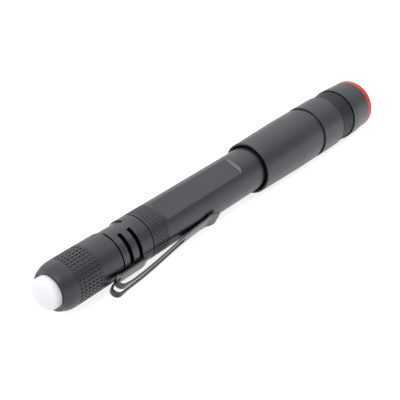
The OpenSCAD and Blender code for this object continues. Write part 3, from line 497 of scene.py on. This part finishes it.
# %% Dress the frame
finishes = {
    anodised: ("barrel", "tail_cap", "focus_sleeve", "front_bezel", "lens_retainer"),
    red_metal: ("red_ring",),
    acrylic: ("lens",),
    moulded["black_nitrile_rubber"]: ("button_gasket", "tail_o_ring", "focus_o_ring", "lens_gasket"),
    moulded["black_moulded_nylon"]: ("switch_housing",),
    moulded["white_moulded_acetal"]: ("switch_plunger", "led_ring"),
    bare["bright_drawn_spring_steel"]: ("stop_ring",),
    bare["turned_brass"]: ("switch_retainer", "positive_contact", "led_pill"),
    boards["green_solder_mask_board"]: ("switch_board",),
    boards["white_solder_mask_board"]: ("led_board",),
    driver: ("driver_board",),
    emitter: ("led_emitter",),
    cell_skin: ("rear_cell", "front_cell"),
}
for finish, names in finishes.items():
    for name in names:
        nodes[name].data.materials.clear()
        nodes[name].data.materials.append(finish)
print("dressed", sum(len(names) for names in finishes.values()), "nodes")

# %% [markdown]
# ## The silicone button
# The button is a soft cap with a crowned top, a rolled edge and a flange that the nose of the cap
# holds. It is hollow round a post that pushes the switch. A profile turned about the axis gives all
# of this, and fine steps round the edge keep its highlight smooth.

# %% Helpers that turn a profile
def finished_piece(made, name, finish, smooth_angle):
    """Turns a bmesh into an object with a finish, smooth up to an angle in degrees between faces."""
    bmesh.ops.recalc_face_normals(made, faces=made.faces)
    mesh = bpy.data.meshes.new(name)
    made.to_mesh(mesh)
    made.free()
    mesh.shade_smooth()
    mesh.set_sharp_from_angle(angle=math.radians(smooth_angle))
    mesh.materials.append(finish)
    piece = bpy.data.objects.new(name, mesh)
    bpy.context.scene.collection.objects.link(piece)
    return piece


def turned(name, profile_mm, finish, steps=128):
    """A piece turned about the axis from (along, radius) points, which start and end on the axis."""
    made = bmesh.new()
    rings = []
    for along, radius in profile_mm:
        count = steps if radius > 0 else 1
        angles = [2 * math.pi * i / count for i in range(count)]
        rings.append([made.verts.new((along * MM, radius * MM * math.cos(a), radius * MM * math.sin(a)))
                      for a in angles])
    for ring, after in zip(rings, rings[1:]):
        for i in range(steps):
            j = (i + 1) % steps
            corners = [ring[i % len(ring)], ring[j % len(ring)],
                       after[j % len(after)], after[i % len(after)]]
            made.faces.new(dict.fromkeys(corners))
    return finished_piece(made, name, finish, smooth_angle=40)


def arc(centre, radius, start, end, count):
    """Points of an arc in the profile, from a start to an end angle in degrees, measured from the axis."""
    angles = [math.radians(start + (end - start) * i / count) for i in range(count + 1)]
    return [(centre[0] - radius * math.cos(a), centre[1] + radius * math.sin(a)) for a in angles]


print("turning helpers ready")

# %% The silicone button
crown = -145.7           # the highest point of the button along the penlight, in millimetres
crown_r = 12.0
side_r = 4.6
edge_r = 1.1
flange = (-140.65, -139.65)
flange_r = 5.27
wall = 1.1
post_r = 1.9
crown_steps, edge_steps = 14, 12
edge_angle = math.degrees(math.asin((side_r - edge_r) / (crown_r - edge_r)))
edge_along = crown + crown_r - (crown_r - edge_r) * math.cos(math.radians(edge_angle))
top = arc((crown + crown_r, 0.0), crown_r, 0.0, edge_angle, crown_steps)
rolled_edge = arc((edge_along, side_r - edge_r), edge_r, edge_angle, 90.0, edge_steps)[1:]
hollow = edge_along + wall
button_profile = [(top[0][0], 0.0), *top[1:], *rolled_edge,
                  (flange[0], side_r), (flange[0], flange_r), (flange[1], flange_r),
                  (flange[1], side_r - wall), (hollow, side_r - wall), (hollow, post_r),
                  (flange[1], post_r), (flange[1], 0.0)]
button = turned("silicone_button", button_profile, silicone)
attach(button, "tail_button")
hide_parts("tail_button")
print("button", round(edge_along, 2), "mm at its rolled edge,", len(button.data.polygons), "faces")

# %% [markdown]
# ## The pocket clip
# The clip is one stamped strip of spring steel. A C-shaped collar with slots snaps into the neck of the
# barrel, a foot lies on it, and the strip turns back in a loop with a window and runs on as the arm, with
# a long slot between two rails. Its walls could be drawn one by one, but a stamping is easier to make as
# it is made: lay out the middle of the sheet, then give it thickness and slightly rounded edges. All
# sizes below are millimetres, and a place is given along the penlight and outward from its axis.

# %% A helper that gives a sheet its thickness
def stamped(made, name, finish, thickness_mm, edge_mm):
    """Turns the middle surface of a stamping into a solid sheet with rounded edges."""
    piece = finished_piece(made, name, finish, smooth_angle=180)
    sheet = piece.modifiers.new("thickness", "SOLIDIFY")
    sheet.thickness = thickness_mm * MM
    sheet.offset = 0.0
    sheet.use_even_offset = True
    edges = piece.modifiers.new("rounded_edges", "BEVEL")
    edges.width = edge_mm * MM
    edges.segments = 3
    edges.limit_method = "ANGLE"
    edges.angle_limit = math.radians(50)
    piece.modifiers.new("even_shading", "WEIGHTED_NORMAL").keep_sharp = True
    solid = bpy.data.meshes.new_from_object(piece.evaluated_get(bpy.context.evaluated_depsgraph_get()))
    piece.modifiers.clear()
    piece.data = solid
    return piece


print("stamping helper ready")

# %% Sizes of the clip, and helpers for its strip
clip_t = 0.5
clip_drop = math.radians(35.624)         # how far below the horizontal the clip points
outward = Vector((0, -math.cos(clip_drop), -math.sin(clip_drop)))
sideways = Vector((0, math.sin(clip_drop), -math.cos(clip_drop)))
foot_front = -113.9
bend_centre = (-125.7, 8.925)            # along and outward
bend_r = 1.575
bend_steps = 40
arm_slope = math.radians(4.758)
arm_touch = (-87.179, 7.299)
arm_tip = (-83.752, 8.044)
loop_half, strip_half = 3.0, 2.15        # half widths at the loop, and at the foot and the arm
window_half, slot_half = 1.5, 0.9        # half widths of the opening there
loop_from, loop_to = -126.4, -122.6      # the strip narrows between these
window_front, slot_front = -123.8, -98.4     # where the opening ends in the foot and in the arm
arm_sway = 0.25                          # the arm is bowed out behind its middle, and in before it
foot_cut, tip_cut = 0.8, 0.7             # cut corners at the two ends of the strip
tip_flare, flare_len = 0.7, 3.0          # how much wider the tip is on each side, and from where
foot_step, window_step, arm_step = 0.3, 0.1, 0.15    # the strip's rows lie this far apart


def clip_point(along, out, across):
    """A point of the clip in metres, from its place along, outward and across."""
    return (Vector((along, 0, 0)) + outward * out + sideways * across) * MM


def share_of(value, start, end):
    """How far a value has come from start to end, between 0 and 1."""
    return min(max((value - start) / (end - start), 0.0), 1.0)


def narrowed(along, wide, narrow):
    """A width that goes from wide at the loop to narrow in front of it."""
    share = share_of(along, loop_from, loop_to)
    return wide + (narrow - wide) * share * share * (3 - 2 * share)


def straight(start, end, step):
    """Points about a step apart from start to end, without the last one."""
    count = max(1, round(math.dist(start, end) / step))
    return [tuple(a + (b - a) * i / count for a, b in zip(start, end)) for i in range(count)]


def half_opening(along, front):
    """Half the opening's width, which ends in a half circle at its front."""
    half_w = narrowed(along, window_half, slot_half)
    end_r = narrowed(front, window_half, slot_half)
    into_end = max(along - (front - end_r), 0.0)
    return min(half_w, math.sqrt(max(end_r ** 2 - into_end ** 2, 0.0)))


print("clip layout helpers ready")

# %% Lay out the rows of the strip
foot_out = bend_centre[1] - bend_r
turn_start, turn_end = 1.5 * math.pi, math.pi / 2 - arm_slope
turn = [turn_start + (turn_end - turn_start) * i / bend_steps for i in range(bend_steps + 1)]
loop = [(bend_centre[0] + bend_r * math.cos(a), bend_centre[1] + bend_r * math.sin(a)) for a in turn]
foot_line = [*straight((foot_front, foot_out), (window_front, foot_out), foot_step),
             *straight((window_front, foot_out), loop[0], window_step)]
arm_line = []
for along, out in straight(loop[-1], arm_touch, arm_step):
    share = share_of(along, loop[-1][0], arm_touch[0])
    arm_line.append((along, out + arm_sway * math.sin(2 * math.pi * share)))
arm_line += [*straight(arm_touch, arm_tip, foot_step), arm_tip]

middle = bend_steps // 2
rows = []
for line, opening_front, end, cut in (
        (foot_line + loop[:middle], window_front, foot_front, foot_cut),
        (loop[middle:] + arm_line[1:], slot_front, arm_tip[0], tip_cut)):
    for along, out in line:
        flare = tip_flare * share_of(along, arm_touch[0] - flare_len, arm_touch[0])
        corner = max(cut - abs(along - end), 0.0)
        half_w = narrowed(along, loop_half, strip_half) + flare - corner
        rows.append((along, out, half_w, half_opening(along, opening_front)))
print("strip of", len(rows), "rows,", round(max(row[2] for row in rows) * 2, 2), "mm at its widest")

# %% Stamp the strip
closed = 0.01            # an opening narrower than this is closed
stamping = bmesh.new()


def clip_corner(along, out, across):
    """A corner of the stamping's sheet."""
    return stamping.verts.new(clip_point(along, out, across))


strip = []
for along, out, half_w, open_w in rows:
    inner = [clip_corner(along, out, side * open_w) for side in ((-1, 1) if open_w > closed else (0,))]
    strip.append((clip_corner(along, out, -half_w), inner[0], inner[-1], clip_corner(along, out, half_w)))
for row, after in zip(strip, strip[1:]):
    stamping.faces.new((row[0], row[1], after[1], after[0]))
    stamping.faces.new((row[2], row[3], after[3], after[2]))
print("strip of", len(stamping.faces), "faces")

# %% Stamp the collar and its pad
collar_r = 6.82
collar_along = (-122.2, -120.1, -118.75, -116.55, -115.2, -114.45)   # edges of its bands and slots
slot_bands = (1, 3)      # which of the bands between these edges are cut by a slot
collar_end = 121.5       # degrees to both sides of the clip
collar_slots = (17.0, 97.0)              # where the slots start and end, in degrees
even_turns = range(-120, 121, 3)         # degrees: even steps round the collar
pad_out, pad_half, pad_inset = 7.1, 1.4, 0.1     # the pad that joins the collar to the foot
clip_edge = 0.09         # radius of the stamping's rounded edges

turns = sorted({*even_turns, -collar_end, collar_end, *collar_slots, *(-a for a in collar_slots)})
collar = []
for angle in map(math.radians, turns):
    out, across = collar_r * math.cos(angle), collar_r * math.sin(angle)
    collar.append([clip_corner(along, out, across) for along in collar_along])
for i, (start, end) in enumerate(zip(turns, turns[1:])):
    near, far = sorted((abs(start), abs(end)))
    slotted = collar_slots[0] <= near and far <= collar_slots[1]
    for j in range(len(collar_along) - 1):
        if not (slotted and j in slot_bands):
            stamping.faces.new((collar[i][j], collar[i][j + 1], collar[i + 1][j + 1], collar[i + 1][j]))

pad_from, pad_to = collar_along[0] + pad_inset, collar_along[-1] - pad_inset
pad_corners = ((pad_from, -pad_half), (pad_to, -pad_half), (pad_to, pad_half), (pad_from, pad_half))
stamping.faces.new([clip_corner(along, pad_out, across) for along, across in pad_corners])
clip = stamped(stamping, "sprung_clip", clip_steel, clip_t, clip_edge)
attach(clip, "barrel")
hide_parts("pocket_clip")
print("clip", len(clip.data.polygons), "faces")

# %% [markdown]
# ## Springs and thread
# A compression spring is round wire wound on a helix whose end turns lie flat, so that it stands
# square. The screw thread on the barrel's end is a low ridge on a helix with a lead of 1 mm, right
# handed, so five turns free the cap by 5 mm. Both carry an outline round the axis, so one helper
# makes them all. Its path gives the angle, the radius, the place along the axis and the outline's
# share of its height, which lets the thread run out at its ends.

# %% Helpers that wind an outline round the axis
def wound(name, path_mm, outline_mm, finish, smooth_angle):
    """A piece that carries an outline of (out, along) points on a path wound about the axis."""
    made = bmesh.new()
    rings = []
    for angle, radius, along, share in path_mm:
        ring = []
        for out, rise in outline_mm:
            reach = (radius + out * share) * MM
            corner = ((along + rise) * MM, reach * math.sin(angle), -reach * math.cos(angle))
            ring.append(made.verts.new(corner))
        rings.append(ring)
    for ring, after in zip(rings, rings[1:]):
        for i in range(len(ring)):
            j = (i + 1) % len(ring)
            made.faces.new((ring[i], ring[j], after[j], after[i]))
    made.faces.new(rings[0])
    made.faces.new(rings[-1])
    return finished_piece(made, name, finish, smooth_angle)


steps_per_turn = 48
eased_share = 0.4        # how much of the rise is eased in and out of the flat end turns


def spring_path(start, end, radii, wire, turns, flat_turns):
    """A wire's path from start to end along the axis, flat for some turns at both ends."""
    steps = round(steps_per_turn * turns)
    path = []
    for i in range(steps + 1):
        turn = turns * i / steps
        risen = share_of(turn, flat_turns, turns - flat_turns)
        eased = risen * risen * (3 - 2 * risen) * eased_share + risen * (1 - eased_share)
        radius = radii[0] + (radii[1] - radii[0]) * i / steps
        path.append((2 * math.pi * turn, radius, start + wire / 2 + (end - start - wire) * eased, 1.0))
    return path


def wire_outline(wire, sides=12):
    """A round wire's outline."""
    angles = [2 * math.pi * i / sides for i in range(sides)]
    return [(wire / 2 * math.cos(a), wire / 2 * math.sin(a)) for a in angles]


print("winding helpers ready")

# %% Springs
tail_rest = (-132.1, -126.9)
tail_wire = 0.6
tail_path = spring_path(*tail_rest, radii=(3.4, 2.4), wire=tail_wire, turns=3.5, flat_turns=0.6)
tail_coil = wound("tail_coil", tail_path, wire_outline(tail_wire), bare["bright_drawn_spring_steel"],
                  smooth_angle=60)
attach(tail_coil, "tail_spring")
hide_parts("tail_spring")

switch_rest = (-136.35, -133.9)
switch_wire = 0.3
switch_path = spring_path(*switch_rest, radii=(1.6, 1.6), wire=switch_wire, turns=2.5, flat_turns=0.35)
switch_coil = wound("switch_coil", switch_path, wire_outline(switch_wire),
                    bare["bright_drawn_spring_steel"], smooth_angle=60)
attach(switch_coil, "tail_cap")
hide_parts("switch_spring")
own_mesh(switch_coil)

# %% Screw thread
spigot_r = 5.9
thread_span = (-129.5, -123.7)
thread_turns = thread_span[1] - thread_span[0]   # one turn for each millimetre of lead
thread_steps = 400
run_out_parts = 12       # the ridge rises from nothing in one of so many parts of its length
ridge_h, ridge_sunk = 0.04, -0.02        # its top and its foot, from the spigot's skin
ridge_top, ridge_foot = 0.1, 0.34        # half widths there
thread_path = []
for i in range(thread_steps + 1):
    share = i / thread_steps
    height = min(1.0, run_out_parts * share, run_out_parts * (1 - share))
    thread_path.append((2 * math.pi * thread_turns * share, spigot_r,
                        thread_span[0] + thread_turns * share, height))
ridge = [(ridge_sunk, -ridge_foot), (ridge_h, -ridge_top), (ridge_h, ridge_top), (ridge_sunk, ridge_foot)]
cap_thread = wound("cap_thread", thread_path, ridge, anodised, smooth_angle=30)
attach(cap_thread, "barrel")
print("thread", cap_thread.name, "of", round(thread_turns, 1), "turns")
